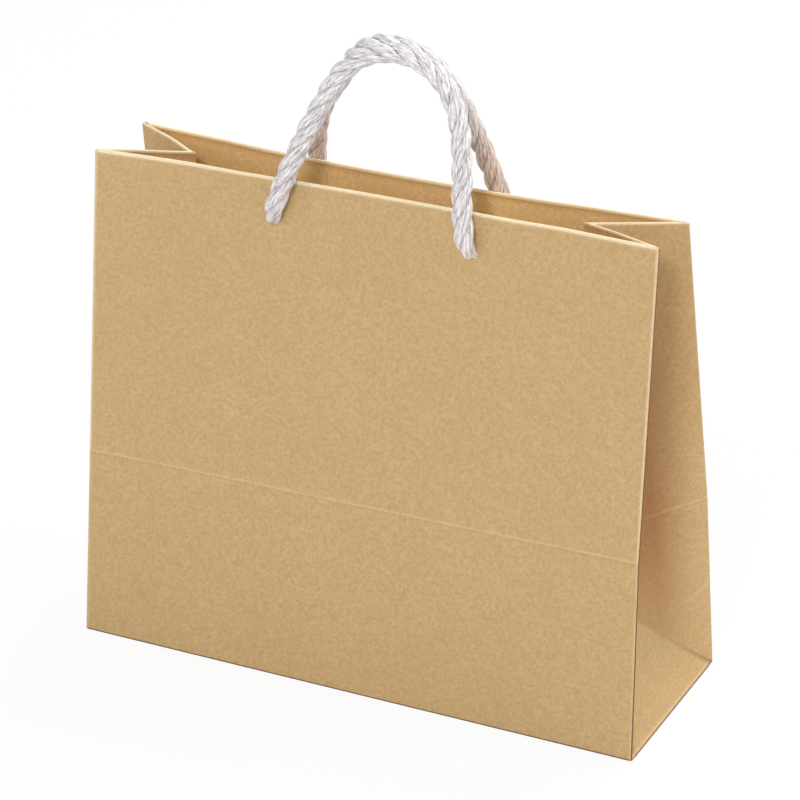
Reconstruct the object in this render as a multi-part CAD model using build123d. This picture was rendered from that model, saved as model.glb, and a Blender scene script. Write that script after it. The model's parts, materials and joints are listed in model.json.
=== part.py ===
"""Landscape kraft paper gift bag with two rope handles.

Lengths are in millimetres. The bag stands on Z = 0 with its front towards -Y,
its width along X, and the origin under its middle. The folded sheet is modelled
panel by panel, because it bends along the cross crease when the mouth is opened.
"""
from build123d import *
import math
import os

# ---------------------------------------------------------------- driving dimensions
bag_width = 240.0            # across the front panel
bag_depth = 80.0             # front to back along the bottom fold
panel_height = 205.0         # along the panel, from bottom fold to rim
crease_height = 80.0         # along the panel, from bottom fold to cross crease
crease_depth = 66.0          # front to back at the cross crease
mouth_depth = 33.0           # front to back at the rim's corners
rim_bow = 4.5                # the middle of each rim stands this far inside its corners
paper = 0.3                  # kraft sheet
fold_relief = 0.1            # sheet left out on each side of a fold that moves
glue_gap = 0.2               # between layers that lie on each other
facet_rows = 8               # rows of flat facets up each twisted sheet
hem_facet_rows = 4           # rows of them in the hem's height

hem_height = 30.0            # top edge turned down inside the mouth
card_height = 28.0           # reinforcing card under the hem
card_thickness = 0.6
card_end_gap = 4.0           # card and hem stop short of the side folds
gusset_hem_gap = 6.0         # gusset hem stops short of the side fold

board_thickness = 1.0        # loose board on the bottom
board_clearance = 1.0        # between the board or flaps and the walls
flap_reach = 55.0            # front and back bottom flaps, measured from their folds
tab_reach = 30.0             # side tabs folded in under the board
seam_width = 14.0            # glue flap that closes the sheet
seam_setback = 2.0           # glue flap to side fold

rope_diameter = 8.0          # across the corners of its section
rope_sides = 16              # flats of the section
hole_clearance = 0.2         # around the rope
hole_spacing = 85.0          # between the two rope holes of a panel
hole_drop = 16.0             # hole centre below the rim
pivot_gap = 0.3              # between the bend of the rope and the panel

knot_radius = 8.0            # outside the knot's turns
knot_rope_radius = 3.2       # rope pulled thin in the knot
knot_groove = 1.5            # between the knot's two turns
knot_drop = 4.0              # knot below the hole
knot_seat_gap = 0.3          # knot to hem
knot_tail = 8.0              # free end below the knot

# Middle line of the front handle between its two bends: (across, inwards, up),
# measured from the middle of the pivot line. The ends are added from hole_spacing.
handle_shape = [
    (-36.5, 2.0, 17.0),
    (-24.5, 8.6, 46.5),
    (-13.5, 13.2, 67.0),
    (4.0, 15.1, 74.2),
    (21.5, 14.6, 70.5),
    (33.5, 11.8, 57.5),
    (38.3, 6.6, 37.5),
    (39.3, 2.2, 17.5),
]

# ---------------------------------------------------------------- derived sizes
half_width = bag_width / 2
half_gusset = bag_depth / 2
rope_radius = rope_diameter / 2
upper_length = panel_height - crease_height
lower_lean = math.asin((bag_depth - crease_depth) / 2 / crease_height)
upper_lean = math.asin((crease_depth - mouth_depth) / 2 / upper_length)
crease_z = crease_height * math.cos(lower_lean)
card_depth = paper + glue_gap
hem_depth = card_depth + card_thickness + glue_gap
rim_stack = hem_depth + paper
hem_foot = 1 - hem_height / upper_length

# Frames on the outer face of the front wall: X across, Y up the panel, Z outwards.
lower_face = Plane(
    origin=(0, -bag_depth / 2, 0),
    x_dir=(1, 0, 0),
    z_dir=(0, -math.cos(lower_lean), math.sin(lower_lean)),
)
upper_face = Plane(
    origin=(0, -crease_depth / 2, crease_z),
    x_dir=(1, 0, 0),
    z_dir=(0, -math.cos(upper_lean), math.sin(upper_lean)),
)


# ---------------------------------------------------------------- helpers
def flat_sheet(face, x_low, x_high, low, high, depth):
    """Flat sheet of paper on a wall, its outer side at a depth below the wall's outer face."""
    middle = Pos((x_low + x_high) / 2, (low + high) / 2, -depth - paper / 2)
    return face.location * middle * Box(x_high - x_low, high - low, paper)


def bow_at(x, height):
    """How far the upper wall is bowed in: straight at the crease, a parabola at the rim."""
    rise = (height - fold_relief) / (upper_length - fold_relief)
    return rim_bow * rise * (1 - (x / half_width) ** 2)


def bowed_edge(x_low, x_high, height, depth):
    """Level line across the upper wall, as one parabola at a depth below the outer face."""
    middle = (x_low + x_high) / 2
    slope = -2 * bow_at(0, height) * x_low / half_width**2
    control = bow_at(x_low, height) + slope * (middle - x_low)
    return Bezier(
        (x_low, height, -depth - bow_at(x_low, height)),
        (middle, height, -depth - control),
        (x_high, height, -depth - bow_at(x_high, height)),
    )


def ruled_solid(lower_edges, upper_edges):
    """Solid between two closed outlines, with a ruled side between each pair of edges."""
    sides = [
        Face.make_surface_from_curves(low, high) for low, high in zip(lower_edges, upper_edges)
    ]
    ends = [Face(Wire(edges)) for edges in (lower_edges, upper_edges)]
    return Part() + Solid(Shell(sides + ends))


def bowed_sheet(x_low, x_high, low, high, depth, thickness):
    """Sheet on the bowed upper wall, ruled between its lower and upper cut edges."""
    cut_edges = []
    for height in (low, high):
        outer = bowed_edge(x_low, x_high, height, depth)
        inner = bowed_edge(x_low, x_high, height, depth + thickness)
        ends = [Line(outer @ share, inner @ share) for share in (0, 1)]
        cut_edges.append([curve.edge() for curve in (outer, ends[1], inner, ends[0])])
    return upper_face.location * ruled_solid(*cut_edges)


def hole_location(x):
    """Frame of a rope hole: on the bowed outer face, Z outwards."""
    height = upper_length - hole_drop
    return upper_face.location * Pos(x, height, -bow_at(x, height))


def above_floor(solid):
    """The part of a solid that lies over the surface that the bag stands on."""
    reach = 2 * bag_width
    return solid - Pos(0, 0, -reach / 2) * Box(reach, reach, reach)


def with_rope_holes(sheet):
    """The sheet with the two holes for the rope punched square through the wall."""
    for x in (-hole_spacing / 2, hole_spacing / 2):
        sheet -= hole_location(x) * Cylinder(rope_radius + hole_clearance, 4 * rim_stack)
    return sheet


def side_point(distance):
    """Where the gusset's outer face meets the front wall, at a distance up the side fold."""
    if distance <= crease_height:
        on_wall = lower_face.from_local_coords((half_width, distance, -2 * paper))
    else:
        on_wall = upper_face.from_local_coords((half_width, distance - crease_height, -2 * paper))
    return Vector(on_wall)


def fold_inset(distance):
    """How far the gusset's middle fold lies inside the bag's side, from the half gusset's width."""
    if distance <= crease_height:
        half_depth = half_gusset - distance * math.sin(lower_lean)
    else:
        half_depth = crease_depth / 2 - (distance - crease_height) * math.sin(upper_lean)
    return math.sqrt(half_gusset**2 - half_depth**2)


def fold_point(distance, relief=0.0):
    """Point on the gusset's middle fold. The fold keeps its length as it tips into the bag."""
    apex_z = half_gusset - half_gusset * math.sin(lower_lean)
    stations = [half_gusset, min(distance, crease_height), distance]
    z = apex_z
    for lower, upper in zip(stations, stations[1:]):
        shift = fold_inset(upper) - fold_inset(lower)
        z += math.sqrt((upper - lower) ** 2 - shift**2)
    return Vector(half_width - fold_inset(distance), -relief, z)


def strip_section(start, end):
    """Corners of the sheet's cut edge from side fold to middle fold, mitred at the middle fold."""
    along = (end - start).normalized()
    inner_start = start + Vector(0, 0, 1).cross(along).normalized() * paper
    inner_end = inner_start + along * ((end.Y - inner_start.Y) / along.Y)
    return [start, end, inner_end, inner_start]


def between(first, second, share):
    """Point at a share of the way from first to second."""
    return first + (second - first) * share


def flat_face(*corners):
    return Face(Wire.make_polygon(corners))


def even_shares(low, high, rows):
    return [low + (high - low) * row / rows for row in range(rows + 1)]


def twisted_sheet(lower, upper, shares):
    """Sheet between two cut edges, twisted evenly in rows of flat triangles.

    Both sides of the sheet are split along the same diagonals, so it keeps its thickness.
    """
    rows = [[between(low, high, share) for low, high in zip(lower, upper)] for share in shares]
    faces = [flat_face(*rows[0]), flat_face(*rows[-1])]
    for below, above in zip(rows, rows[1:]):
        for near, far in ((0, 1), (3, 2), (1, 2), (0, 3)):
            faces.append(flat_face(below[near], below[far], above[far]))
            faces.append(flat_face(below[near], above[far], above[near]))
    return Part() + Solid(Shell(faces))


# ---------------------------------------------------------------- front wall above the crease
def upper_panel():
    sheet = bowed_sheet(-half_width, half_width, fold_relief, upper_length, 0, paper)
    return with_rope_holes(sheet)


def rim_card():
    reach = half_width - card_end_gap
    top = upper_length - paper - glue_gap
    strip = bowed_sheet(-reach, reach, top - card_height, top, card_depth, card_thickness)
    return with_rope_holes(strip)


def rim_hem():
    """Turned-in top edge: a lip over the card and a leg down its inner side."""
    reach = half_width - card_end_gap
    fold = upper_length - paper
    lip = bowed_sheet(-reach, reach, fold, upper_length, card_depth, rim_stack - card_depth)
    leg = bowed_sheet(-reach, reach, upper_length - hem_height, fold, hem_depth, paper)
    return with_rope_holes(lip + leg)


def gusset_half_edges():
    """Cut edges of the front half of the right gusset, just over the crease and at the rim."""
    bottom = crease_height + fold_relief
    lower = strip_section(side_point(bottom), fold_point(bottom, fold_relief))
    upper = strip_section(side_point(panel_height), fold_point(panel_height, fold_relief))
    return lower, upper


def gusset_half():
    shares = even_shares(0, hem_foot, facet_rows)[:-1] + even_shares(hem_foot, 1, hem_facet_rows)
    return twisted_sheet(*gusset_half_edges(), shares)


def gusset_hem():
    """Turned-in top of the half gusset, lying on its inner side."""
    lower, upper = gusset_half_edges()
    edges = []
    for share in (hem_foot, 1.0):
        inner_end = between(lower[2], upper[2], share)
        inner_start = between(lower[3], upper[3], share)
        along = (inner_end - inner_start).normalized()
        inwards = Vector(0, 0, 1).cross(along).normalized()
        start = inner_start + along * gusset_hem_gap + inwards * glue_gap
        end = inner_end - along * paper + inwards * glue_gap
        edges.append([start, end, end + inwards * paper, start + inwards * paper])
    return twisted_sheet(*edges, even_shares(0, 1, hem_facet_rows))


def seam_flap_upper():
    """Glue flap on the inside of the panel, beside its side fold and below the hem."""
    outer = half_width - seam_setback
    inner = outer - seam_width
    head = upper_length - hem_height - paper
    edges = []
    for height in (fold_relief, head):
        corners = [(inner, 0), (outer, 0), (outer, paper), (inner, paper)]
        edges.append([
            Vector(upper_face.from_local_coords((x, height, -card_depth - bow_at(x, height) - depth)))
            for x, depth in corners
        ])
    return twisted_sheet(*edges, even_shares(0, 1, facet_rows))


def rope_rod(radius, length):
    """Straight stretch of rope along Z, from the origin down."""
    return extrude(RegularPolygon(radius, rope_sides), -length)


def rope_end(x):
    """Rope through the wall, its stopper knot of two turns and the free end below the knot."""
    near = rim_stack + knot_seat_gap
    turn_length = 2 * knot_rope_radius
    turn = rope_rod(knot_radius, turn_length)
    ends = turn.faces().filter_by(Axis.Z)
    turn = chamfer(ends.edges(), knot_rope_radius - knot_groove)
    turns = [Pos(0, -knot_drop, -near - number * turn_length) * turn for number in (0, 1)]
    upright = Rot(-90, 0, 0) * rope_rod(knot_rope_radius, knot_radius + knot_tail)
    tail = Pos(0, -knot_drop, -near - 1.5 * turn_length) * upright
    return hole_location(x) * (rope_rod(rope_radius, near + knot_groove) + turns + tail)


# ---------------------------------------------------------------- walls below the crease
def lower_panel():
    top = crease_height - fold_relief
    return above_floor(flat_sheet(lower_face, -half_width, half_width, 0, top, 0))


def seam_flap_lower():
    """Glue flap on the inside of the panel, from the board up to the crease."""
    outer = half_width - seam_setback
    foot = 3 * paper + board_thickness + paper
    head = crease_height - fold_relief
    return flat_sheet(lower_face, outer - seam_width, outer, foot, head, card_depth)


def gusset_base():
    """Lower right gusset: two side facets and the triangle that folds up from the bottom."""
    top = crease_height - fold_relief
    corner = side_point(0)
    apex = fold_point(half_gusset)
    lower = strip_section(corner, apex)
    upper = strip_section(side_point(top), fold_point(top))
    front_facet = twisted_sheet(lower, upper, even_shares(0, 1, facet_rows))
    back_facet = mirror(front_facet, about=Plane.XZ)
    back_corner = Vector(corner.X, -corner.Y, corner.Z)
    outline = Face(Wire.make_polygon([corner, back_corner, apex]))
    inwards = (back_corner - corner).cross(apex - corner).normalized() * -1
    triangle = extrude(outline, amount=paper, dir=inwards)
    return above_floor(front_facet + back_facet + triangle)


# ---------------------------------------------------------------- bottom
def bottom_flap(layer):
    """Flap folded in from the front wall, on its layer of the bottom."""
    reach_y = half_gusset - 2 * paper
    width = bag_width - 2 * board_clearance
    sheet = Box(width, flap_reach, paper)
    return Pos(0, flap_reach / 2 - reach_y, (layer + 0.5) * paper) * sheet


def bottom_tab():
    """Right side tab with its corners cut at 45 degrees, on the third layer."""
    outer = half_width - board_clearance
    near = half_gusset - board_clearance
    far = near - tab_reach
    outline = Polyline(
        (outer, -near), (outer, near), (outer - tab_reach, far), (outer - tab_reach, -far), close=True
    )
    return Pos(0, 0, 2 * paper) * extrude(make_face(outline), amount=paper)


def base_board():
    """Loose board on the tabs, trimmed to clear the gussets where they lean in."""
    top = 3 * paper + board_thickness
    gusset_lean = fold_inset(half_gusset) / fold_point(half_gusset).Z
    length = bag_width - 2 * (board_clearance + top * gusset_lean)
    width = bag_depth - 2 * (board_clearance + top * math.tan(lower_lean))
    return Pos(0, 0, 3 * paper + board_thickness / 2) * Box(length, width, board_thickness)


# ---------------------------------------------------------------- handle
def pivot_point():
    """Middle of the line about which the front handle swings, just outside the holes."""
    outside = hole_location(hole_spacing / 2) * Pos(0, 0, rope_radius + pivot_gap)
    return Vector(0, outside.position.Y, outside.position.Z)


def bend_radii(points):
    """Radius at each inner point: 0.45 of the shorter run over the tangent of half the turn."""
    radii = []
    for before, here, after in zip(points, points[1:], points[2:]):
        run_in = here - before
        run_out = after - here
        half_turn = math.radians(run_in.get_angle(run_out)) / 2
        radii.append(0.45 * min(run_in.length, run_out.length) / math.tan(half_turn))
    return radii


def handle_rope():
    pivot = pivot_point()
    route = [(-hole_spacing / 2, 0, 0)] + handle_shape + [(hole_spacing / 2, 0, 0)]
    points = [pivot + Vector(across, inwards, up) for across, inwards, up in route]
    radii = bend_radii(points)
    print("handle bend radii, mm:", [round(radius, 1) for radius in radii])
    path = FilletPolyline(*points, radius=radii)
    section = Plane(origin=path @ 0, z_dir=path % 0) * RegularPolygon(rope_radius, rope_sides)
    tube = sweep(section, path=path)
    print("tube volume over section times length:",
          round(tube.volume / (section.area * path.length), 4))
    print("handle length between bends, mm:", round(path.length, 1))
    tip = extrude(RegularPolygon(rope_radius, rope_sides), -rope_radius / 2, taper=45)
    return tube + [Pos(*end) * tip for end in (points[0], points[-1])]


# ---------------------------------------------------------------- assembly
def to_back(solid):
    """The same piece on the back wall: half a turn about the bag's upright middle line."""
    return Rot(0, 0, 180) * solid


def to_left(solid):
    return mirror(solid, about=Plane.YZ)


parts = {
    "front_panel_lower": lower_panel(),
    "front_panel_upper": upper_panel(),
    "front_rim_card": rim_card(),
    "front_rim_hem": rim_hem(),
    "right_gusset_base": gusset_base(),
    "right_gusset_front_half": gusset_half(),
    "right_gusset_front_hem": gusset_hem(),
    "right_bottom_tab": bottom_tab(),
    "base_board": base_board(),
    "front_right_rope_knot": rope_end(hole_spacing / 2),
    "front_left_rope_knot": rope_end(-hole_spacing / 2),
    "front_handle_rope": handle_rope(),
}
parts["left_gusset_base"] = to_left(parts["right_gusset_base"])
parts["left_gusset_front_half"] = to_left(parts["right_gusset_front_half"])
parts["left_gusset_front_hem"] = to_left(parts["right_gusset_front_hem"])
parts["left_bottom_tab"] = to_left(parts["right_bottom_tab"])
parts["left_gusset_back_half"] = to_back(parts["right_gusset_front_half"])
parts["right_gusset_back_half"] = to_back(parts["left_gusset_front_half"])
parts["left_gusset_back_hem"] = to_back(parts["right_gusset_front_hem"])
parts["right_gusset_back_hem"] = to_back(parts["left_gusset_front_hem"])
parts["back_panel_lower"] = to_back(parts["front_panel_lower"])
parts["back_panel_upper"] = to_back(parts["front_panel_upper"])
parts["back_rim_card"] = to_back(parts["front_rim_card"])
parts["back_rim_hem"] = to_back(parts["front_rim_hem"])
parts["back_left_rope_knot"] = to_back(parts["front_right_rope_knot"])
parts["back_right_rope_knot"] = to_back(parts["front_left_rope_knot"])
parts["back_handle_rope"] = to_back(parts["front_handle_rope"])
parts["bottom_front_flap"] = bottom_flap(layer=1)
parts["bottom_back_flap"] = to_back(bottom_flap(layer=0))
parts["seam_flap_lower"] = to_back(seam_flap_lower())
parts["seam_flap_upper"] = to_back(seam_flap_upper())

pivot = pivot_point()
print("front crease line at y, z:", round(-crease_depth / 2, 3), round(crease_z, 3))
print("front handle pivot at y, z:", round(pivot.Y, 3), round(pivot.Z, 3))

os.makedirs("parts", exist_ok=True)
for name, solid in parts.items():
    export_step(solid, f"parts/{name}.step")
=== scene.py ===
"""Looks of a landscape kraft paper gift bag with folded gussets and two twisted rope handles.

Lengths are in metres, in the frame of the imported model: the bag stands on Z = 0, its front
faces -Y and its width lies along X. Each wall is one sheet of paper that runs up the outside,
turns over the rim and hangs down inside as the hem.
"""

import json
import math

import bmesh
import bpy
import numpy as np
from mathutils import Matrix, Vector, noise


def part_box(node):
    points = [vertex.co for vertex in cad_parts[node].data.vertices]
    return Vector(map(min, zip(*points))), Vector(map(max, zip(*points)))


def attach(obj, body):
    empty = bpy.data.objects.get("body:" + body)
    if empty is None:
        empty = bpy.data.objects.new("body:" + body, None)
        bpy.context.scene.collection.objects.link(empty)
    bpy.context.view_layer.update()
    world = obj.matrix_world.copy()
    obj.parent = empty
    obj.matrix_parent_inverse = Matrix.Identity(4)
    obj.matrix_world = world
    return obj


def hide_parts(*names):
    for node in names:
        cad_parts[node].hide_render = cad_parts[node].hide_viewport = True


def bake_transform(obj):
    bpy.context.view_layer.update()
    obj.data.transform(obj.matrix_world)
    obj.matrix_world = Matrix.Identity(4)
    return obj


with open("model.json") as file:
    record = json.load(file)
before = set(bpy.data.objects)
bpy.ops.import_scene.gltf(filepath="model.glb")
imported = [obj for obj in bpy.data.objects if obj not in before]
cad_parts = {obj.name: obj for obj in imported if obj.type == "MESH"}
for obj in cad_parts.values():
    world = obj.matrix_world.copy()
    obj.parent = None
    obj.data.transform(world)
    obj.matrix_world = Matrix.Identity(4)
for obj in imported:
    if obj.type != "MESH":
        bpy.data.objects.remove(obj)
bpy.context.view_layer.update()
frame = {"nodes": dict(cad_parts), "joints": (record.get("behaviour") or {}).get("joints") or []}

MM = 0.001

# ---------------------------------------------------------------- sizes from the frame
joints = {joint["name"]: joint for joint in frame["joints"]}
CREASE = Vector(joints["front_mouth_open"]["pos_m"])
PIVOT = Vector(joints["front_handle_swing"]["pos_m"])
lower_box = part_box("front_panel_lower")
upper_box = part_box("front_panel_upper")
HALF_WIDTH = lower_box[1][0]
FOOT = Vector((0, lower_box[0][1], 0))
HALF_GUSSET = -FOOT.y
RIM_HALF_DEPTH = 16.5 * MM                          # at the rim's corners
RIM = Vector((0, -RIM_HALF_DEPTH, upper_box[1][2]))
RIM_BOW = 4.5 * MM                                  # the rim's middle stands this far inside
PAPER = 0.3 * MM
CARD_THICKNESS = 0.6 * MM
RIM_STACK = 1.6 * MM                                # sheet, card and hem
GUSSET_STACK = 1.1 * MM                             # sheet and hem
HEM = 30 * MM
FOLD_RADIUS = 0.6 * MM
SHARP_ANGLE = math.radians(24)
WELD = 0.001 * MM                                   # points this close become one

LOWER_LENGTH = (CREASE - FOOT).length
UPPER_LENGTH = (RIM - CREASE).length


def across(direction):
    """Unit vector out of a front wall that runs up in this direction."""
    return Vector((0, -direction.z, direction.y))


LOWER_UP = (CREASE - FOOT).normalized()
UPPER_UP = (RIM - CREASE).normalized()
LOWER_OUT = across(LOWER_UP)
UPPER_OUT = across(UPPER_UP)

UNTURNED = Matrix.Identity(4)
HALF_TURN = Matrix.Rotation(math.pi, 4, "Z")
MIRROR_Y = Matrix.Diagonal((1, -1, 1, 1))
MIRROR_X = Matrix.Diagonal((-1, 1, 1, 1))


def clamp(value):
    """The value, held between 0 and 1."""
    return max(0.0, min(1.0, value))


def steps(low, high, count):
    """Evenly spaced numbers from low to high, count steps apart."""
    return [low + (high - low) * i / count for i in range(count + 1)]


# ---------------------------------------------------------------- materials
def srgb(red, green, blue):
    """Linear colour of a display colour given from 0 to 255."""
    channels = [value / 255 for value in (red, green, blue)]
    return [c / 12.92 if c <= 0.04045 else ((c + 0.055) / 1.055) ** 2.4 for c in channels] + [1]


class Nodes:
    """Builds a material's node tree in few words."""

    def __init__(self, name):
        self.material = bpy.data.materials.new(name)
        self.material.use_nodes = True
        self.tree = self.material.node_tree
        self.shader = self.tree.nodes["Principled BSDF"]
        self.output = self.tree.nodes["Material Output"]

    def add(self, kind, inputs=(), **settings):
        """New node with these settings; an input is linked to a socket or set to a value."""
        node = self.tree.nodes.new(kind)
        for key, value in settings.items():
            setattr(node, key, value)
        for key, value in dict(inputs).items():
            if isinstance(value, bpy.types.NodeSocket):
                self.tree.links.new(value, node.inputs[key])
            else:
                node.inputs[key].default_value = value
        return node

    def object_place(self, scale=(1, 1, 1)):
        """Place on the object in metres, times a scale along each axis."""
        place = self.add("ShaderNodeTexCoord").outputs["Object"]
        return self.add("ShaderNodeMapping", {"Vector": place, "Scale": scale}).outputs[0]

    def noise(self, place, scale, detail, roughness):
        inputs = {"Vector": place, "Scale": scale, "Detail": detail, "Roughness": roughness}
        return self.add("ShaderNodeTexNoise", inputs).outputs["Fac"]

    def ramp(self, value, low, high, low_to=0.0, high_to=1.0):
        """Carries a value from the span low..high to the span low_to..high_to."""
        inputs = {"Value": value, 1: low, 2: high, 3: low_to, 4: high_to}
        return self.add("ShaderNodeMapRange", inputs, clamp=True).outputs[0]

    def mix(self, factor, first, second, blend="MIX"):
        node = self.add("ShaderNodeMix", data_type="RGBA", blend_type=blend)
        for index, value in ((0, factor), (6, first), (7, second)):
            if isinstance(value, bpy.types.NodeSocket):
                self.tree.links.new(value, node.inputs[index])
            else:
                node.inputs[index].default_value = value
        return node.outputs[2]

    def math(self, operation, first, second):
        return self.add("ShaderNodeMath", {0: first, 1: second}, operation=operation).outputs[0]

    def attribute(self, name):
        """Number that the mesh carries at each point."""
        return self.add("ShaderNodeAttribute", attribute_name=name).outputs["Fac"]

    def bump(self, height, distance):
        return self.add("ShaderNodeBump", {"Height": height, "Distance": distance}).outputs[0]

    def finish(self, color, normal, **values):
        """The material, with its colour, its normal and the shader's named values set."""
        self.tree.links.new(color, self.shader.inputs["Base Color"])
        self.tree.links.new(normal, self.shader.inputs["Normal"])
        for key, value in values.items():
            self.shader.inputs[key.replace("_", " ")].default_value = value
        return self.material


# Painted light: the turned-in side of the sheet is this much lighter than the outside, because these
# lamps leave the mouth's inside darker than the real bag's.
INNER_LIGHT = (1.54, 1.56, 1.50, 1)


def kraft_material():
    """Uncoated kraft paper: fine pulp and short fibres, pale on rubbed folds and painted crease
    highlights, with painted shade and painted light.
    """
    build = Nodes("kraft_paper")
    place = build.object_place()
    pulp = build.noise(place, 620, 3.0, 0.65)
    grain = build.noise(place, 1900, 1.0, 0.5)
    fibre = build.noise(build.object_place((0.3, 0.3, 1)), 2300, 2.0, 0.6)
    broad = build.noise(place, 20, 2.0, 0.5)
    patch = build.noise(place, 190, 2.0, 0.5)
    color = build.mix(build.ramp(pulp, 0.37, 0.63), srgb(193, 160, 113), srgb(207, 177, 130))
    color = build.mix(build.ramp(grain, 0.56, 0.74, 0.0, 0.40), color, srgb(176, 141, 96))
    color = build.mix(build.ramp(fibre, 0.55, 0.74, 0.0, 0.45), color, srgb(222, 195, 150))
    color = build.mix(build.ramp(broad, 0.35, 0.65, 0.0, 0.14), color, srgb(190, 157, 108))
    color = build.mix(build.ramp(patch, 0.38, 0.62, 0.0, 0.30), color, srgb(193, 161, 112))
    # Painted light on the sheet's turned-in side, which lightens the mouth's inside.
    color = build.mix(build.attribute("inner_light"), color, INNER_LIGHT, "MULTIPLY")
    # Painted shade: folds, the foot, the hem under the rim and the gusset's depths darken towards
    # these colours.
    shade = build.attribute("shade")
    shade_color = build.mix(build.ramp(shade, 0.6, 0.95), srgb(146, 82, 26), srgb(84, 60, 40))
    color = build.mix(shade, color, shade_color)
    # Pale marks: rubbed paper on folds and the rim, and painted highlight along creases.
    rubbed = build.ramp(grain, 0.3, 0.6, 0.45, 1.0)
    marked = build.math("MULTIPLY", build.attribute("wear_and_highlight"), rubbed)
    color = build.mix(marked, color, srgb(243, 226, 190))
    height = build.math("ADD", pulp, build.math("MULTIPLY", fibre, 0.6))
    return build.finish(
        color, build.bump(height, 0.00003), Roughness=0.85, Specular_IOR_Level=0.2
    )


def card_material():
    """Greyish tan board of the rim and the bottom."""
    build = Nodes("card_board")
    cloud = build.noise(build.object_place(), 180, 4.0, 0.6)
    color = build.mix(build.ramp(cloud, 0.3, 0.7), srgb(176, 150, 112), srgb(196, 172, 134))
    return build.finish(color, build.bump(cloud, 0.00005), Roughness=0.9)


def rope_material():
    """Silky white rayon with painted streaks of sheen and shade, painted shade between its yarns and
    strands, and painted reflection of the kraft low down.
    """
    build = Nodes("white_rope")
    silk = build.add("ShaderNodeAttribute", attribute_name="silk").outputs["Vector"]
    threads = build.noise(silk, 5.0, 3.0, 0.65)
    # Painted sheen and shade: white and grey-violet streaks along the strands.
    color = build.mix(build.ramp(threads, 0.36, 0.56), srgb(166, 155, 164), srgb(255, 254, 254))
    # Painted shade in the valleys between the yarns.
    yarn_valley_shade = build.ramp(build.attribute("yarn"), 0.0, 0.5, 0.35, 0.0)
    color = build.mix(yarn_valley_shade, color, srgb(160, 148, 160))
    # Painted shade on the strands' sides that face into the rope.
    strand_gap_shade = build.ramp(build.attribute("groove"), 0.34, 0.66, 0.95, 0.0)
    color = build.mix(strand_gap_shade, color, srgb(96, 80, 88))
    # Painted reflection of the kraft, with painted shade, on the rope near the walls.
    color = build.mix(build.attribute("kraft_reflection"), color, srgb(236, 206, 178), "MULTIPLY")
    return build.finish(
        color, build.bump(threads, 0.0004),
        Roughness=0.38, Specular_IOR_Level=0.55, Sheen_Weight=0.2,
    )


KRAFT = kraft_material()
CARD = card_material()
ROPE = rope_material()


# ---------------------------------------------------------------- the walls' shape
def bow_at(x, height):
    """How far the upper wall is bowed in, at a height above the crease."""
    return RIM_BOW * max(0.0, height) / UPPER_LENGTH * (1 - (x / HALF_WIDTH) ** 2)


def wall_point(x, height, depth):
    """Point of the front wall, at a height above the crease and a depth under its outer face."""
    if height < 0:
        return CREASE + Vector((x, 0, 0)) + LOWER_UP * height - LOWER_OUT * depth
    inwards = bow_at(x, height) + depth
    return CREASE + Vector((x, 0, 0)) + UPPER_UP * height - UPPER_OUT * inwards


def side_fold(distance):
    """Side fold of the front wall, at a distance up from the bottom."""
    return wall_point(HALF_WIDTH, distance - LOWER_LENGTH, 0)


def middle_fold(distance):
    """Middle fold of the right gusset, which keeps its length as it tips into the bag."""
    def inset(at):
        return math.sqrt(max(0.0, HALF_GUSSET**2 - side_fold(at).y ** 2))

    z = HALF_GUSSET * (1 - LOWER_UP.y)
    stations = [HALF_GUSSET, min(distance, LOWER_LENGTH), distance]
    for lower, upper in zip(stations, stations[1:]):
        shift = inset(upper) - inset(lower)
        z += math.copysign(math.sqrt(max(0.0, (upper - lower) ** 2 - shift**2)), upper - lower)
    return Vector((HALF_WIDTH - inset(distance), 0, z))


# The real bag stands a little unevenly. Shifts of its corners along X and Y, in millimetres, at
# the foot, the crease and the rim.
CORNER_SHIFTS = {
    (-1, -1): ((-2.5, 0.5), (0, -0.5), (0, -1)),
    (1, -1): ((2, -3.5), (-1, 2), (-1, 2.5)),
    (1, 1): ((-1, 3.5), (0.5, -0.5), (-0.5, -3)),
    (-1, 1): ((0, 0), (0, 0), (3, -0.5)),
}
LEVELS = (0.0, CREASE.z, RIM.z)
HALF_DEPTHS = (-FOOT.y, -CREASE.y, -RIM.y)
TUCK = {1: 2.5 * MM, -1: -5.5 * MM}  # shifts of the middle folds along X at the rim
RISE = 2.0 * MM                      # and up
TUCK_FROM = 60 * MM                  # they begin this far from the bag's middle
TUCK_OVER = 20 * MM                  # and are full this much further out
RIM_LIFT = 0.7 * MM                  # the whole rim stands this much higher


def settle(points):
    """The points after the bag has settled into its slightly uneven stand."""
    placed = np.array([tuple(point) for point in points])
    x, y, z = placed.T
    depth = np.interp(z, LEVELS, HALF_DEPTHS)
    across_x = np.clip(x / HALF_WIDTH, -1, 1)
    across_y = np.clip(y / depth, -1, 1)
    shift = np.zeros((len(placed), 2))
    for (side_x, side_y), levels in CORNER_SHIFTS.items():
        share = (1 + side_x * across_x) * (1 + side_y * across_y) / 4
        for axis in (0, 1):
            values = [level[axis] * MM for level in levels]
            shift[:, axis] += share * np.interp(z, LEVELS, values)
    high = np.clip((z - CREASE.z) / (RIM.z - CREASE.z), 0, 1)
    near_side = np.clip((np.abs(x) - TUCK_FROM) / TUCK_OVER, 0, 1)
    inner = high * near_side * (1 - np.abs(across_y))
    tuck = np.where(x > 0, TUCK[1], TUCK[-1]) * inner
    placed[:, 0] += shift[:, 0] + tuck
    placed[:, 1] += shift[:, 1]
    placed[:, 2] += RISE * inner + RIM_LIFT * high
    return [Vector(point) for point in placed]


def ripple(place, seed, size, length):
    """Gentle unevenness of a sheet, within size either way over about this length. Each seed
    looks at another part of the noise."""
    return size * noise.noise(place / length + Vector((seed, 2.3 * seed, -1.7 * seed)))


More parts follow.
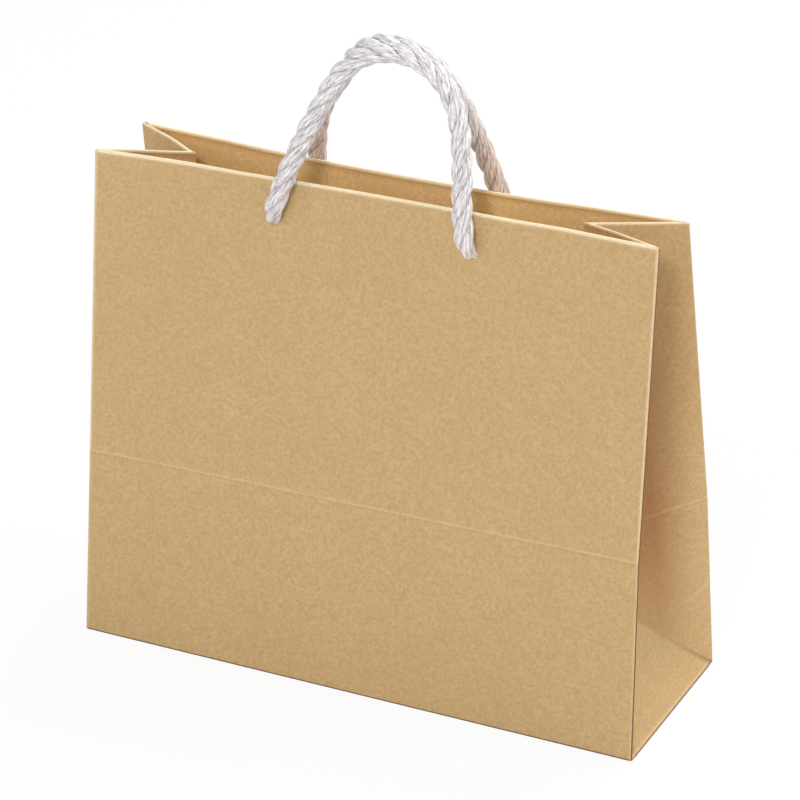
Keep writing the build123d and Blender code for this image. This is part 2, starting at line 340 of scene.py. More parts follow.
# ---------------------------------------------------------------- mesh helpers
class Sheet:
    """Open grid surfaces that become one piece of paper with a thickness."""

    def __init__(self, name):
        self.name = name
        self.points = []
        self.marks = []
        self.faces = []

    def grid(self, rows, marks):
        """Adds rows of points, with each point's marks: how pale it is from rubbed paper or painted
        highlight, its painted shade and, if given, its painted light on the turned-in side. The grid
        faces the side from which its rows run up and its columns run right."""
        base, width = len(self.points), len(rows[0])
        for row, row_marks in zip(rows, marks):
            self.points.extend(row)
            self.marks.extend(row_marks)
        for r in range(len(rows) - 1):
            for c in range(width - 1):
                at = base + r * width + c
                self.faces.append((at, at + 1, at + width + 1, at + width))

    def build(self, transform, material=KRAFT, thickness=PAPER):
        """The piece, carried by the transform, settled, welded and thickened inwards."""
        points = settle([transform @ point for point in self.points])
        flipped = transform.determinant() < 0
        faces = [face[::-1] for face in self.faces] if flipped else self.faces
        mesh = bpy.data.meshes.new(self.name)
        mesh.from_pydata(points, [], faces)
        for index, key in enumerate(("wear_and_highlight", "shade", "inner_light")):
            attribute = mesh.attributes.new(key, "FLOAT", "POINT")
            values = [(*mark, 0.0)[index] for mark in self.marks]
            attribute.data.foreach_set("value", np.array(values, np.float32))
        work = bmesh.new()
        work.from_mesh(mesh)
        bmesh.ops.remove_doubles(work, verts=work.verts, dist=WELD)
        work.to_mesh(mesh)
        work.free()
        for polygon in mesh.polygons:
            polygon.use_smooth = True
        mesh.set_sharp_from_angle(angle=SHARP_ANGLE)
        piece = bpy.data.objects.new(self.name, mesh)
        bpy.context.scene.collection.objects.link(piece)
        mesh.materials.append(material)
        solid = piece.modifiers.new("paper", "SOLIDIFY")
        solid.thickness = thickness
        solid.offset = -1
        return piece


CREASE_ROWS = (0, 0.05 * MM, 0.4 * MM, 0.8 * MM)    # close rows just above the cross crease
RIM_ROWS = 44                                       # up a wall, from its crease to its rim
GUSSET_ROWS = 60
HEM_ROWS = 12
RIM_TURNS = 8
INNER_TURN = 2.2                                    # the roll's inner side begins at this angle


def rim_profile(stack, rows):
    """(height, depth, pale mark, painted shade) up the outer face, over the rolled rim and down the
    hem. The roll is rubbed pale, and the hem has painted shade just under it."""
    roll = stack / 2
    top = UPPER_LENGTH - roll
    hem_end = UPPER_LENGTH - HEM
    profile = [(height, 0.0, 0.0, 0.0) for height in CREASE_ROWS]
    profile += [(height, 0.0, 0.0, 0.0) for height in steps(1.6 * MM, top - 2.5 * MM, rows)]
    profile += [(top - 1.2 * MM, 0.0, 0.0, 0.0), (top - 0.4 * MM, 0.0, 0.3, 0.0)]
    for turn in steps(0, math.pi, RIM_TURNS):
        wear_and_highlight = 1.3 if turn < INNER_TURN else 0.5
        profile.append((top + roll * math.sin(turn), roll - roll * math.cos(turn), wear_and_highlight, 0.0))
    # Painted shade on the hem just under the roll.
    profile += [(top - 0.5 * MM, stack, 0.0, 0.45), (top - 1.4 * MM, stack, 0.0, 0.2)]
    profile += [(height, stack, 0.0, 0.0) for height in steps(top - 3 * MM, hem_end, HEM_ROWS)]
    profile.append((hem_end - 0.05 * MM, stack, 0.0, 0.0))
    return profile


# ---------------------------------------------------------------- front and back walls
EDGE_COLUMNS = [d * MM for d in (0, 0.4, 0.9, 1.6, 3.0, 5.0)]    # from a side fold inwards
EDGE_REACH = 8 * MM                  # the even columns begin this far from a side fold
EDGE_WEAR = {"upper": 0.6, "lower": 0.25}    # of a side fold, above and below the crease
WALL_COLUMNS = 72
WALL_ROWS = 24                       # below the crease
WAVE = (0.55 * MM, 70 * MM)          # size and length of a wall's broad waves
DIMPLE = (0.10 * MM, 20 * MM)        # and of its small ones
FOOT_CALM = 12 * MM                  # they begin over this height
FLOOR_GAP = 0.05 * MM                # no wall goes lower than this
EDGE_RUB = 0.9 * MM                  # side folds are rubbed pale, and creases carry their pale line of rubbed paper and painted highlight, this far to each side
FOLD_TURNS = 6
HEM_TAPER = 2.4                      # a hem stops short of the side folds by its depth times this
# (height above the bottom fold, depth, pale mark, painted shade), in millimetres, of a wall's bottom
# fold; the shade is a painted shadow along the foot
BOTTOM_FOLD = (
    (0.1, 7.0, 0.0, 0.3), (0.1, 1.6, 0.0, 0.6), (0.1, 0.5, 0.0, 0.9),
    (0.3, 0.1, 0.0, 1.0), (0.7, 0.0, 0.0, 0.9), (0.95, 0.0, 0.0, 0.1),
)
# (height above the crease in millimetres, pale mark, painted shade) of a wall's cross crease: above
# it a pale line of rubbed paper and painted highlight, below it painted shade
CROSS_CREASE = (
    (-1.2, 0.0, 0.0), (-0.6, 0.0, 0.10), (-0.2, 0.10, 0.05),
    (0.2, 0.28, 0.0), (0.6, 0.12, 0.0), (1.2, 0.0, 0.0),
)
# (pale mark, painted shade) round a side fold, from the wall to the gusset; the front's shade is
# painted shade where the fold turns in towards the gusset
FOLD_MARKS = {
    "front": ((0.6, 0), (0.7, 0), (0.2, 0.5), (0, 0.95), (0, 0.95), (0, 0.95), (0, 0.7)),
    "back": ((0.4, 0), (0.4, 0), (0.5, 0), (0.5, 0), (0.5, 0), (0.3, 0), (0.1, 0)),
}


def wall_lift(x, height, seed):
    """How far the wall's paper stands out of its plane."""
    inner = 1 - (abs(x) / HALF_WIDTH) ** 8
    low = clamp((height + LOWER_LENGTH) / FOOT_CALM)
    place = Vector((x, height, 0))
    lift = ripple(place, seed, *WAVE) + ripple(place, seed + 3.1, *DIMPLE)
    return lift * inner * low


def wall_profile():
    """(height, depth, pale mark, painted shade) of a wall, from under its bottom fold to its hem's
    end.
    """
    profile = [(-LOWER_LENGTH + up * MM, deep * MM, *marks) for up, deep, *marks in BOTTOM_FOLD]
    heights = steps(-LOWER_LENGTH + 1.2 * MM, -2.2 * MM, WALL_ROWS)
    profile += [(height, 0.0, 0.0, 0.0) for height in heights]
    profile += [(height * MM, 0.0, wear_and_highlight, shade) for height, wear_and_highlight, shade in CROSS_CREASE]
    return profile + [row for row in rim_profile(RIM_STACK, RIM_ROWS) if row[0] > 2 * MM]


def turned_fold(start, height, side):
    """Points round the right (1) or left (-1) side fold, until the paper lies along the gusset."""
    out = LOWER_OUT if height < 0 else UPPER_OUT
    direction = gusset_direction(max(0.0, height + LOWER_LENGTH))
    angle = math.acos(max(-1.0, min(1.0, direction.x)))
    centre = start - out * FOLD_RADIUS
    arc = [start]
    for turn in steps(0, angle, FOLD_TURNS)[1:]:
        around = out * math.cos(turn) + Vector((side, 0, 0)) * math.sin(turn)
        arc.append(centre + around * FOLD_RADIUS)
    return arc


def wall_sheet(name, seed, wall):
    """Front wall from the bottom fold to the hem's foot, with its side folds."""
    sheet = Sheet(name)
    columns = [-HALF_WIDTH + d for d in EDGE_COLUMNS]
    columns += steps(-HALF_WIDTH + EDGE_REACH, HALF_WIDTH - EDGE_REACH, WALL_COLUMNS)
    columns += [HALF_WIDTH - d for d in EDGE_COLUMNS[::-1]]
    profile = wall_profile()
    rows, marks = [], []
    for height, depth, wear_and_highlight, shade in profile:
        reach = HALF_WIDTH - HEM_TAPER * min(depth, RIM_STACK)
        row, row_marks = [], []
        for x in columns:
            at = max(-reach, min(reach, x))
            point = wall_point(at, height, depth - wall_lift(x, height, seed))
            point.z = max(point.z, FLOOR_GAP)
            row.append(point)
            near_edge = max(0.0, 1 - (HALF_WIDTH - abs(x)) / EDGE_RUB)
            edge_wear = EDGE_WEAR["upper" if height > 0 else "lower"]
            # Painted light on the hem, the turned-in side of the sheet.
            inner_light = min(1.0, depth / RIM_STACK) if height > 0 else 0.0
            row_marks.append((max(wear_and_highlight, edge_wear * near_edge), shade, inner_light))
        rows.append(row)
        marks.append(row_marks)
    sheet.grid(rows, marks)

    top = UPPER_LENGTH - RIM_STACK / 2
    for side in (-1, 1):
        turned, turned_marks = [], []
        for row, (height, depth, _, _) in zip(rows, profile):
            if depth > PAPER or height > top:
                continue
            arc = turned_fold(row[0 if side < 0 else -1], height, side)
            strong = 1.0 if height > 0 else 0.4
            # Pale marks and painted shade round the side fold.
            marked = [(strong * wear_and_highlight, shade) for wear_and_highlight, shade in FOLD_MARKS[wall]]
            turned.append(arc if side > 0 else arc[::-1])
            turned_marks.append(marked if side > 0 else marked[::-1])
        sheet.grid(turned, turned_marks)
    return sheet


def gusset_direction(distance):
    """Unit vector along the right gusset's front half, from the side fold to the middle fold."""
    if distance < HALF_GUSSET:
        share = distance / HALF_GUSSET
        near_apex = middle_fold(HALF_GUSSET) - side_fold(0)
        flat = Vector((near_apex.x * share * share, near_apex.y, 0))
        return flat.normalized()
    along = middle_fold(distance) - side_fold(distance)
    along.z = 0
    return along.normalized()


STRIP_ROWS = 24
STRIP_COLUMNS = 60


def wall_strip(name, sides, heights, depth, seed):
    """Flat strip that lies this deep behind the outer face of the front wall."""
    sheet = Sheet(name)
    rows, marks = [], []
    for height in steps(*heights, STRIP_ROWS):
        columns = steps(*sides, STRIP_COLUMNS)
        rows.append([wall_point(x, height, depth - wall_lift(x, height, seed)) for x in columns])
        marks.append([(0.0, 0.0)] * len(columns))
    sheet.grid(rows, marks)
    return sheet


# ---------------------------------------------------------------- gussets
def gusset_start(distance):
    """Where the front half of the right gusset leaves the turn of the side fold."""
    start = side_fold(distance)
    out = LOWER_OUT if distance < LOWER_LENGTH else UPPER_OUT
    angle = math.acos(max(-1.0, min(1.0, gusset_direction(distance).x)))
    around = out * math.cos(angle) + Vector((1, 0, 0)) * math.sin(angle)
    return start - out * FOLD_RADIUS + around * FOLD_RADIUS


# Shares of the way from a gusset's side fold (0) to its middle fold (1), and just past it
SHARES = [0, 0.001, 0.01, 0.03, 0.06] + steps(0.09, 0.92, 44) + [0.95, 0.985, 1.0, 1.006, 1.007]
# (height, depth, pale mark, painted shade) of a tongue behind the foot's top edge, which keeps the
# crease closed as the mouth opens
TONGUE = [
    (-2.4 * MM, 0.55 * MM, 0.0, 0.0), (-1.2 * MM, 0.55 * MM, 0.0, 0.0),
    (-0.01 * MM, 0.5 * MM, 0.0, 0.0),
]
HEM_INSET = 0.14                     # share by which the hem stops short of the side fold
MITRE_OVER = 0.08                    # the hem's mitre is cut over this last share
FOLD_EDGE = 0.02                     # the middle fold's worn edge, as a share
GUSSET_SHADE = 1.25
DEEPEST_SHADE = 0.6
RIM_LIGHT = 0.95                     # share of the shade that the open mouth's light takes away
RIM_LIGHT_REACH = 65 * MM            # down from the rim
CREASE_WEAR_AND_HIGHLIGHT = 0.22                   # pale line of the cross crease at the side fold, rubbed paper and painted highlight
CREASE_FADE = 0.7                    # share of it that is gone at the middle fold
GUSSET_CALM = 18 * MM                # waves begin over this height above the crease
WAVE_SPAN = 40 * MM                  # the waves' noise is read over this width
GUSSET_WAVE = (0.9 * MM, 45 * MM)    # size and length of a gusset's waves above the crease
FOOT_WAVE = (0.8 * MM, 35 * MM)      # and below it
BELLY = 0.8 * MM                     # bulge of a gusset half between its folds
FOLD_WEAR = 0.12                     # of the middle fold


def fold_shade(share):
    """Painted shade on the gusset, deeper towards its middle fold."""
    at_edge = clamp((1 - share) / FOLD_EDGE)
    return min(DEEPEST_SHADE, GUSSET_SHADE * max(0.0, share) ** 1.5) * at_edge


def gusset_upper(name, seed):
    """Front half of the right gusset above the crease, with its turned-in top."""
    sheet = Sheet(name)
    rows, marks = [], []
    for height, depth, wear_and_highlight, shade in TONGUE + rim_profile(GUSSET_STACK, GUSSET_ROWS):
        distance = LOWER_LENGTH + height
        start, end = gusset_start(distance), middle_fold(distance)
        inwards = Vector((0, 0, 1)).cross((end - start).normalized()).normalized()
        calm = clamp(height / GUSSET_CALM)
        belly = BELLY * math.sin(math.pi * min(1.0, height / UPPER_LENGTH))
        turned = min(1.0, depth / GUSSET_STACK)
        along = end - start
        mitre = depth * abs(along.x / along.y) / along.length
        near_crease = max(0.0, 1 - abs(height) / EDGE_RUB)
        lit = RIM_LIGHT * max(0.0, 1 - (UPPER_LENGTH - height) / RIM_LIGHT_REACH)
        row, row_marks = [], []
        for share in SHARES:
            at = share + (1 - share) * HEM_INSET * turned
            at += mitre * clamp((share - (1 - MITRE_OVER)) / MITRE_OVER)
            loose = math.sin(math.pi * share)
            lift = ripple(Vector((share * WAVE_SPAN, height, seed)), seed, *GUSSET_WAVE)
            row.append(start.lerp(end, at) + inwards * (depth + (lift * calm + belly) * loose))
            at_fold = FOLD_WEAR * max(0.0, 1 - abs(1 - share) / FOLD_EDGE)
            crease = CREASE_WEAR_AND_HIGHLIGHT * near_crease * (1 - CREASE_FADE * share)
            deep = fold_shade(share) * (1 - lit)
            row_marks.append((max(wear_and_highlight, at_fold, crease), max(shade, deep)))
        rows.append(row)
        marks.append(row_marks)
    sheet.grid(rows, marks)
    return sheet


# Shares of the way from the bottom fold (0) up to the cross crease (1)
FOOT_LEVELS = [0, 0.0006, 0.01, 0.02, 0.04] + steps(0.06, 0.94, 54)
FOOT_LEVELS += [0.96, 0.975, 0.985, 0.9994, 1]
FOOT_GAP = 0.3 * MM                  # the gusset's foot goes no lower than this
TRIANGLE_COLUMNS = 24
CREASE_LEVELS = 0.012                # the cross crease wears this share of the levels
LEVEL_WEAR_AND_HIGHLIGHT = 0.30                    # pale line of rubbed paper and painted highlight along the level crease that the folded bottom leaves
LEVEL_RUB = 1.4 * MM                 # to each side of it
LEVEL_REACH = 0.6                    # share of the way to the apex, over which it fades
BOTTOM_SHADE = 0.5                   # painted shade along the bottom fold
BOTTOM_REACH = 1.6 * MM              # up from it


def gusset_lower(name, seed):
    """Right gusset below the crease: two leaning facets and the triangle between them."""
    sheet = Sheet(name)
    apex = middle_fold(HALF_GUSSET)
    for half in (1, -1):
        rows, marks = [], []
        for level in FOOT_LEVELS:
            distance = level * LOWER_LENGTH
            start = gusset_start(distance)
            end = apex.lerp(middle_fold(LOWER_LENGTH), level)
            row, row_marks = [], []
            for share in SHARES:
                loose = math.sin(math.pi * share) * math.sin(math.pi * level)
                place = Vector((share * WAVE_SPAN, distance, seed))
                lift = ripple(place, seed, *FOOT_WAVE)
                place = start.lerp(end, share) + Vector((-1, 0, 0)) * lift * loose
                row.append(Vector((place.x, place.y * half, max(place.z, FOOT_GAP))))
                near_crease = max(0.0, (level - (1 - CREASE_LEVELS)) / CREASE_LEVELS)
                crease = CREASE_WEAR_AND_HIGHLIGHT * near_crease * (1 - CREASE_FADE * share)
                off = abs(level * LOWER_LENGTH / HALF_GUSSET + share - 1) * HALF_GUSSET
                near_level = max(0.0, 1 - off / LEVEL_RUB)
                level_crease = LEVEL_WEAR_AND_HIGHLIGHT * near_level * max(0.0, 1 - share / LEVEL_REACH)
                shade = fold_shade(share) * (0.4 + 0.6 * level)
                near_bottom = max(0.0, 1 - level * LOWER_LENGTH / BOTTOM_REACH)
                edge = BOTTOM_SHADE * near_bottom * (1 - share)
                row_marks.append((max(crease, level_crease), max(shade, edge)))
            rows.append(row if half > 0 else row[::-1])
            marks.append(row_marks if half > 0 else row_marks[::-1])
        sheet.grid(rows, marks)
    foot_start = gusset_start(0)
    rows, marks = [], []
    for share in SHARES:
        edge = foot_start.lerp(apex, share)
        columns = steps(-1, 1, TRIANGLE_COLUMNS)
        rows.append([Vector((edge.x, -edge.y * part, max(edge.z, FOOT_GAP))) for part in columns])
        # Painted shadow along the triangle's bottom edge, and painted shade along its slanted folds
        # near the bottom.
        foot_shadow = 0.95 if share < 0.002 else 0.6 if share < 0.02 else 0.0
        pale = 0.4 if share == 0.03 else 0.0
        corner = max(0.0, BOTTOM_SHADE * (1 - share))
        marks.append([(pale, max(foot_shadow, corner if abs(part) == 1 else 0.0)) for part in columns])
    sheet.grid(rows, marks)
    return sheet


# ---------------------------------------------------------------- the pieces of paper and card
WALLS = {"front": (UNTURNED, 1.0), "back": (HALF_TURN, 5.0)}    # with each wall's seed
CARD_SPAN = (-HALF_WIDTH + 4 * MM, HALF_WIDTH - 4 * MM)
CARD_HEIGHTS = (UPPER_LENGTH - 28.8 * MM, UPPER_LENGTH - 0.8 * MM)
CARD_DEPTH = 0.45 * MM
SEAM_SPAN = (HALF_WIDTH - 16 * MM, HALF_WIDTH - 2 * MM)
SEAM_DEPTH = 0.5 * MM


def blended(piece):
    """Bakes the piece's transform into its mesh."""
    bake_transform(piece)


for wall, (turn, seed) in WALLS.items():
    piece = wall_sheet(f"{wall}_sheet", seed, wall).build(turn)
    blended(piece)
    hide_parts(f"{wall}_panel_lower", f"{wall}_panel_upper", f"{wall}_rim_hem")

    strip = wall_strip(f"{wall}_card", CARD_SPAN, CARD_HEIGHTS, CARD_DEPTH, seed)
    piece = strip.build(turn, CARD, CARD_THICKNESS)
    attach(piece, f"{wall}_wall")
    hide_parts(f"{wall}_rim_card")

# The glue flap that closes the sheet lies behind the back wall, at the left side fold.
turn, seed = WALLS["back"]
for part, body, heights in (
    ("lower", "base", (2.0 * MM - LOWER_LENGTH, -0.1 * MM)),
    ("upper", "back_wall", (0.1 * MM, UPPER_LENGTH - HEM - 0.2 * MM)),
):
    piece = wall_strip(f"seam_{part}", SEAM_SPAN, heights, SEAM_DEPTH, seed).build(turn)
    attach(piece, body)
    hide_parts(f"seam_flap_{part}")

# Each side's gusset: the front and back halves above the crease, and the foot on the base.
for side, mirror_side, shift in (("right", UNTURNED, 0.0), ("left", MIRROR_X, 11.0)):
    for wall, mirror_wall, seed in (("front", UNTURNED, 2.0), ("back", MIRROR_Y, 7.0)):
        transform = mirror_side @ mirror_wall
        piece = gusset_upper(f"{side}_gusset_{wall}_fold", seed + shift).build(transform)
        blended(piece)
        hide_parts(f"{side}_gusset_{wall}_half", f"{side}_gusset_{wall}_hem")
    piece = gusset_lower(f"{side}_gusset_foot", 4.0 + shift).build(mirror_side)
    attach(piece, "base")
    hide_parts(f"{side}_gusset_base")

for name, node in frame["nodes"].items():
    if "card" in name or name == "base_board":
        material = CARD
    elif "rope" in name:
        material = ROPE
    else:
        material = KRAFT
    node.data.materials.clear()
    node.data.materials.append(material)


# ---------------------------------------------------------------- ropes
STRAND_RADIUS = 2.35 * MM
STRAND_REACH = 1.80 * MM             # rope's middle to strand's middle
STRANDS = 3
LAY = 27 * MM                        # length of one turn of the strands
YARNS = 7
YARN_LAY = 24 * MM
STRAND_SIDES = 42
YARN_RELIEF = 0.05                   # share of a strand's radius
ROPE_STEP = 0.5 * MM
SILK_STRETCH = 60.0                  # the silk's noise moves this far along a metre of rope
SILK_APART = 9.0                     # and this far from strand to strand
PINCH = 0.45                         # how much narrower a handle gets at its holes
NECK_END = 5 * MM                    # the pinch is full this far from the rope's end
NECK_OVER = 8 * MM                   # and is gone this much further
REFLECTION_TOP = 62 * MM                  # the painted reflection of the kraft begins this far above the holes
REFLECTION_OVER = 30 * MM                 # and is full this much lower

# A handle's middle line between its bends: (across, inwards, up) from the pivot line, in
# millimetres. The front one is the solid model's, about 1 mm lower, and the back one hangs a
# little differently.
HANDLE_SHAPES = {
    "front": (
        (-36.5, 2.0, 17.0), (-24.5, 8.6, 46.0), (-13.5, 13.2, 66.0), (4.0, 15.1, 73.0),
        (21.5, 14.6, 69.3), (33.5, 11.8, 56.8), (38.3, 6.6, 37.3), (39.3, 2.2, 17.5),
    ),
    "back": (
        (-38.0, 2.0, 17.0), (-28.5, 8.6, 46.5), (-18.0, 13.2, 67.0), (0.5, 15.1, 72.8),
        (13.5, 14.6, 67.8), (21.9, 11.8, 56.4), (36.8, 6.6, 37.5), (42.0, 2.2, 17.5),
    ),
}
HALF_SPACING = 42.5 * MM             # of a handle's two holes
# Strength of the painted kraft reflection on each handle.
KRAFT_REFLECTIONS = {"front": 0.1, "back": 0.75}
HANDLE_RESOLUTION = 24
KNOT_RESOLUTION = 12


def nurbs_line(points, resolution):
    """Points along the smooth curve that these control points steer."""
    curve = bpy.data.curves.new("route", "CURVE")
    curve.dimensions = "3D"
    spline = curve.splines.new("NURBS")
    spline.points.add(len(points) - 1)
    for slot, point in zip(spline.points, points):
        slot.co = (*point, 1)
    spline.order_u = 3
    spline.use_endpoint_u = True
    spline.resolution_u = resolution
    holder = bpy.data.objects.new("route", curve)
    mesh = bpy.data.meshes.new_from_object(holder)
    line = np.array([v.co for v in mesh.vertices])
    bpy.data.meshes.remove(mesh)
    bpy.data.curves.remove(curve)
    return line


def evenly(line, step):
    """The line again with points a step apart, and their places along it."""
    along = np.concatenate([[0], np.cumsum(np.linalg.norm(np.diff(line, axis=0), axis=1))])
    at = np.linspace(0, along[-1], int(along[-1] / step) + 1)
    return np.stack([np.interp(at, along, line[:, k]) for k in range(3)], axis=1), at


def unit(vectors):
    """The vectors at length 1."""
    return vectors / np.linalg.norm(vectors, axis=-1, keepdims=True)


def carried_frames(line):
    """Two cross directions at each point of a line, carried along it without twist."""
    tangent = unit(np.gradient(line, axis=0))
    first = np.zeros_like(tangent)
    seed = np.array([1.0, 0, 0]) if abs(tangent[0][0]) < 0.8 else np.array([0, 0, 1.0])
    first[0] = unit(seed - tangent[0] * seed.dot(tangent[0]))
    for i in range(1, len(line)):
        first[i] = unit(first[i - 1] - tangent[i] * first[i - 1].dot(tangent[i]))
    return first, np.cross(tangent, first)


def rope_mesh(name, line, radius, reach, lay, phase, pinch=0.0, kraft_reflection=0.0):
    """Twisted strands of yarns round a line, with rounded ends and necks narrower by a pinch."""
    line, at = evenly(line, ROPE_STEP)
    first, second = carried_frames(line)
    from_end = np.minimum(at, at[-1] - at)
    neck = np.clip((from_end - NECK_END) / NECK_OVER, 0, 1)
    narrow = 1 - pinch * (1 - neck)
    cap = np.sqrt(np.maximum(0.02, 1 - (1 - np.minimum(1.0, from_end / (0.9 * radius))) ** 2))
    angle = 2 * math.pi * np.arange(STRAND_SIDES) / STRAND_SIDES
    points, faces, silk = [], [], []
    marks = {"yarn": [], "groove": [], "kraft_reflection": []}
    for strand in range(STRANDS):
        turn = phase + 2 * math.pi * strand / STRANDS + 2 * math.pi * at / lay
        out = first * np.cos(turn)[:, None] + second * np.sin(turn)[:, None]
        middle = line + out * (reach * narrow)[:, None]
        tangent = unit(np.gradient(middle, axis=0))
        flat = unit(out - tangent * (out * tangent).sum(1)[:, None])
        side = np.cross(tangent, flat)
        base = len(points)
        for i in range(len(middle)):
            twisted = angle + 2 * math.pi * at[i] / YARN_LAY
            ridge = 0.5 + 0.5 * np.cos(YARNS * twisted)
            relief = 1 - YARN_RELIEF + YARN_RELIEF * ridge
            size = radius * cap[i] * (0.5 + 0.5 * narrow[i]) * relief
            ring = flat[i] * (np.cos(angle) * size)[:, None]
            ring += side[i] * (np.sin(angle) * size)[:, None]
            points.extend(middle[i] + ring)
            marks["yarn"].extend(ridge)
            marks["groove"].extend(0.5 + 0.5 * np.cos(angle))
            low = np.clip((REFLECTION_TOP - (middle[i][2] - PIVOT.z)) / REFLECTION_OVER, 0, 1)
            marks["kraft_reflection"].extend([kraft_reflection * low] * STRAND_SIDES)
            along = np.full(STRAND_SIDES, SILK_STRETCH * at[i] + SILK_APART * strand)
            silk.append(np.stack([np.cos(twisted), np.sin(twisted), along], axis=1))
        for i in range(len(middle) - 1):
            for k in range(STRAND_SIDES):
                a = base + i * STRAND_SIDES + k
                b = base + i * STRAND_SIDES + (k + 1) % STRAND_SIDES
                faces.append((a, b, b + STRAND_SIDES, a + STRAND_SIDES))
        last = base + (len(middle) - 1) * STRAND_SIDES
        faces.append(tuple(base + k for k in range(STRAND_SIDES))[::-1])
        faces.append(tuple(last + k for k in range(STRAND_SIDES)))
    mesh = bpy.data.meshes.new(name)
    mesh.from_pydata([Vector(point) for point in points], [], faces)
    for key, values in marks.items():
        attribute = mesh.attributes.new(key, "FLOAT", "POINT")
        attribute.data.foreach_set("value", np.array(values, np.float32))
    attribute = mesh.attributes.new("silk", "FLOAT_VECTOR", "POINT")
    attribute.data.foreach_set("vector", np.concatenate(silk).astype(np.float32).ravel())
    for polygon in mesh.polygons:
        polygon.use_smooth = True
    mesh.materials.append(ROPE)
    piece = bpy.data.objects.new(name, mesh)
    bpy.context.scene.collection.objects.link(piece)
    return piece


def handle_points(wall):
    """Control points of a rope on the front, from inside one hole to inside the other."""
    shape = HANDLE_SHAPES[wall]
    inside = UPPER_OUT * -9.0 * MM
    foot = Vector((0, 0, -1.5 * MM))
    ends = [Vector((side * HALF_SPACING, 0, 0)) for side in (-1, 1)]
    middle = [Vector((a * MM, i * MM, u * MM)) for a, i, u in shape]
    route = [ends[0] + inside, ends[0] + foot] + middle + [ends[1] + foot, ends[1] + inside]
    return [PIVOT + point for point in route]


for wall, phase in (("front", 0.4), ("back", 2.1)):
    turn = WALLS[wall][0]
    line = nurbs_line([turn @ point for point in handle_points(wall)], HANDLE_RESOLUTION)
    line = np.array(settle(line))
    piece = rope_mesh(
        f"{wall}_rope", line, STRAND_RADIUS, STRAND_REACH, LAY, phase, PINCH, KRAFT_REFLECTIONS[wall]
    )
    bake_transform(piece)
    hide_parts(f"{wall}_handle_rope")
    path = [tuple(float(c) for c in point) for point in line]


# ---------------------------------------------------------------- knots
KNOT_RADIUS = 4.7 * MM               # of its turns' middle line
KNOT_DEEP = 3.4 * MM                 # the first turn lies this far behind the hem
KNOT_SPREAD = 6.2 * MM               # and the last one this much further
KNOT_DROP = 4 * MM                   # below the hole
KNOT_TURNS = (0.25, 2.1)             # where the turns begin and end
KNOT_TAIL = (6, 15)                  # points down the free end, in millimetres
KNOT_STRAND = (1.6 * MM, 1.5 * MM)   # radius and reach of the strands, pulled thin
KNOT_LAY = 16 * MM


def knot_points(x):
    """Rope from the hole's inner end, twice round itself and down to its free end."""
    hole = PIVOT + Vector((x, 0, 0)) - UPPER_OUT * (4.3 * MM + RIM_STACK)
    points = [hole - UPPER_OUT * 0.5 * MM]
    begin, end = KNOT_TURNS
    for turn in steps(begin, end, 15):
        angle = 2 * math.pi * turn
        deep = KNOT_DEEP + KNOT_SPREAD * (turn - begin) / (end - begin)
        ring = Vector((KNOT_RADIUS * math.cos(angle), 0, 0))
        ring += UPPER_UP * (KNOT_RADIUS * math.sin(angle) - KNOT_DROP)
        points.append(hole - UPPER_OUT * deep + ring)
    tail = points[-1]
    return points + [tail - UPPER_UP * down * MM for down in KNOT_TAIL]


for wall, (turn, _) in WALLS.items():
    for x in (-HALF_SPACING, HALF_SPACING):
        side = "left" if (turn @ Vector((x, 0, 0))).x < 0 else "right"
        knot_line = nurbs_line([turn @ point for point in knot_points(x)], KNOT_RESOLUTION)
        knot_line = settle(knot_line)
        piece = rope_mesh(
            f"{wall}_{side}_knot", np.array(knot_line), *KNOT_STRAND, KNOT_LAY, 0.0
        )
        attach(piece, f"{wall}_wall")
        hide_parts(f"{wall}_{side}_rope_knot")


# ---------------------------------------------------------------- camera, light and floor
AZIMUTH, ELEVATION, ROLL = (math.radians(angle) for angle in (27.2, 25.7, -1.1))
DISTANCE = 1.766
TARGET = Vector((3 * MM, 0, 112 * MM))
LENS = 201.9                         # millimetres, as is the sensor's width
SENSOR = 36
FAR_CLIP = 20
back = Vector((
    math.sin(AZIMUTH) * math.cos(ELEVATION),
    -math.cos(AZIMUTH) * math.cos(ELEVATION),
    math.sin(ELEVATION),
))
right = Vector((0, 0, 1)).cross(back).normalized()
above = back.cross(right)
camera_data = bpy.data.cameras.new("camera")
camera_data.sensor_width = SENSOR
camera_data.lens = LENS
camera = bpy.data.objects.new("camera", camera_data)
bpy.context.scene.collection.objects.link(camera)
turned_right = right * math.cos(ROLL) + above * math.sin(ROLL)
turned_above = above * math.cos(ROLL) - right * math.sin(ROLL)
axes = Matrix((turned_right, turned_above, back)).transposed().to_4x4()
camera.matrix_world = Matrix.Translation(TARGET + back * DISTANCE) @ axes
camera_data.clip_end = FAR_CLIP
bpy.context.scene.camera = camera

BAG_MIDDLE = Vector((0, 0, 0.1))


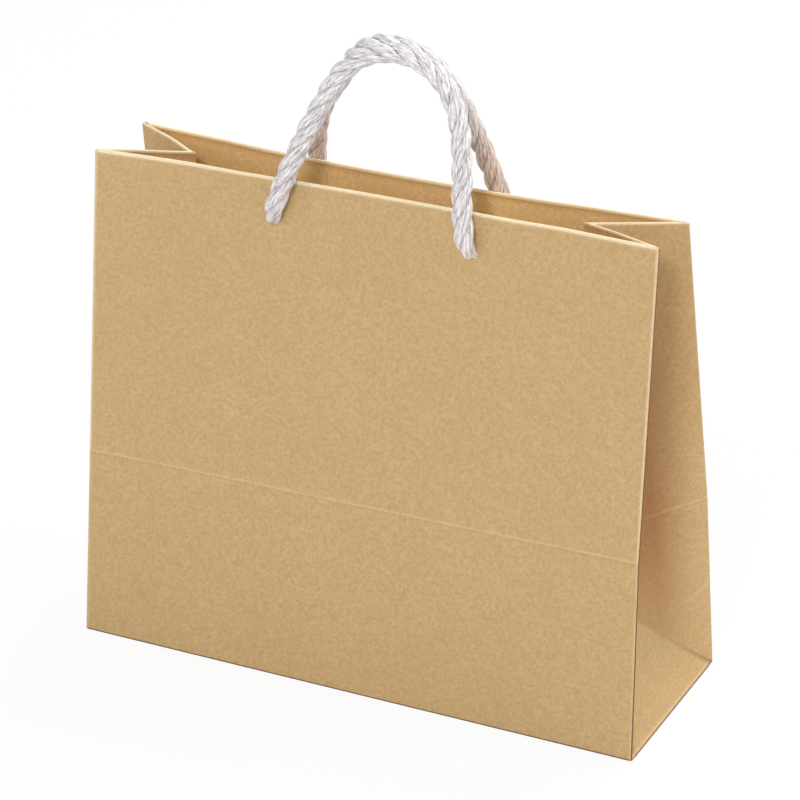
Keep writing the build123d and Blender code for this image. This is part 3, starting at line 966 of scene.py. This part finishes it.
def area_light(name, place, size, power):
    """Square soft white lamp that looks at the middle of the bag."""
    data = bpy.data.lights.new(name, "AREA")
    data.shape = "SQUARE"
    data.size = size
    data.energy = power
    lamp = bpy.data.objects.new(name, data)
    bpy.context.scene.collection.objects.link(lamp)
    lamp.location = place
    lamp.rotation_mode = "QUATERNION"
    lamp.rotation_quaternion = (Vector(place) - BAG_MIDDLE).to_track_quat("Z", "Y")


area_light("key", (0.33, -1.70, 1.45), 0.40, 15.3)
area_light("fill", (-1.20, -1.35, 0.60), 1.0, 5.2)
area_light("side", (1.45, 0.30, 1.30), 0.9, 13.3)
area_light("mouth", (0.20, 1.10, 1.90), 0.8, 24)

world = bpy.data.worlds.new("studio")
bpy.context.scene.world = world
world.use_nodes = True
sky = world.node_tree.nodes["Background"].inputs
sky["Color"].default_value = (1, 1, 1, 1)
sky["Strength"].default_value = 0.38

# The floor is seen as a nearly white glow and keeps the bag's shadow.
FLOOR_GLOW = 0.9
floor_nodes = Nodes("pale_floor")
tree = floor_nodes.tree
matte = floor_nodes.add("ShaderNodeBsdfDiffuse", {"Color": (0.9, 0.9, 0.9, 1)})
glow = floor_nodes.add("ShaderNodeEmission", {"Color": (1, 1, 1, 1), "Strength": 1.0})
path = floor_nodes.add("ShaderNodeLightPath")
seen = floor_nodes.math("MAXIMUM", path.outputs["Is Camera Ray"], path.outputs["Is Glossy Ray"])
seen = floor_nodes.math("MAXIMUM", seen, path.outputs["Is Transmission Ray"])
seen = floor_nodes.math("MULTIPLY", seen, FLOOR_GLOW)
blend_node = floor_nodes.add("ShaderNodeMixShader", {0: seen})
tree.links.new(matte.outputs[0], blend_node.inputs[1])
tree.links.new(glow.outputs[0], blend_node.inputs[2])
tree.links.new(blend_node.outputs[0], floor_nodes.output.inputs["Surface"])

FLOOR_REACH = 6.0
floor_mesh = bpy.data.meshes.new("floor")
corners = [(x * FLOOR_REACH, y * FLOOR_REACH, 0) for x, y in ((-1, -1), (1, -1), (1, 1), (-1, 1))]
floor_mesh.from_pydata(corners, [], [(0, 1, 2, 3)])
floor_mesh.materials.append(floor_nodes.material)
floor = bpy.data.objects.new("floor", floor_mesh)
bpy.context.scene.collection.objects.link(floor)

bpy.context.scene.view_settings.view_transform = "Standard"
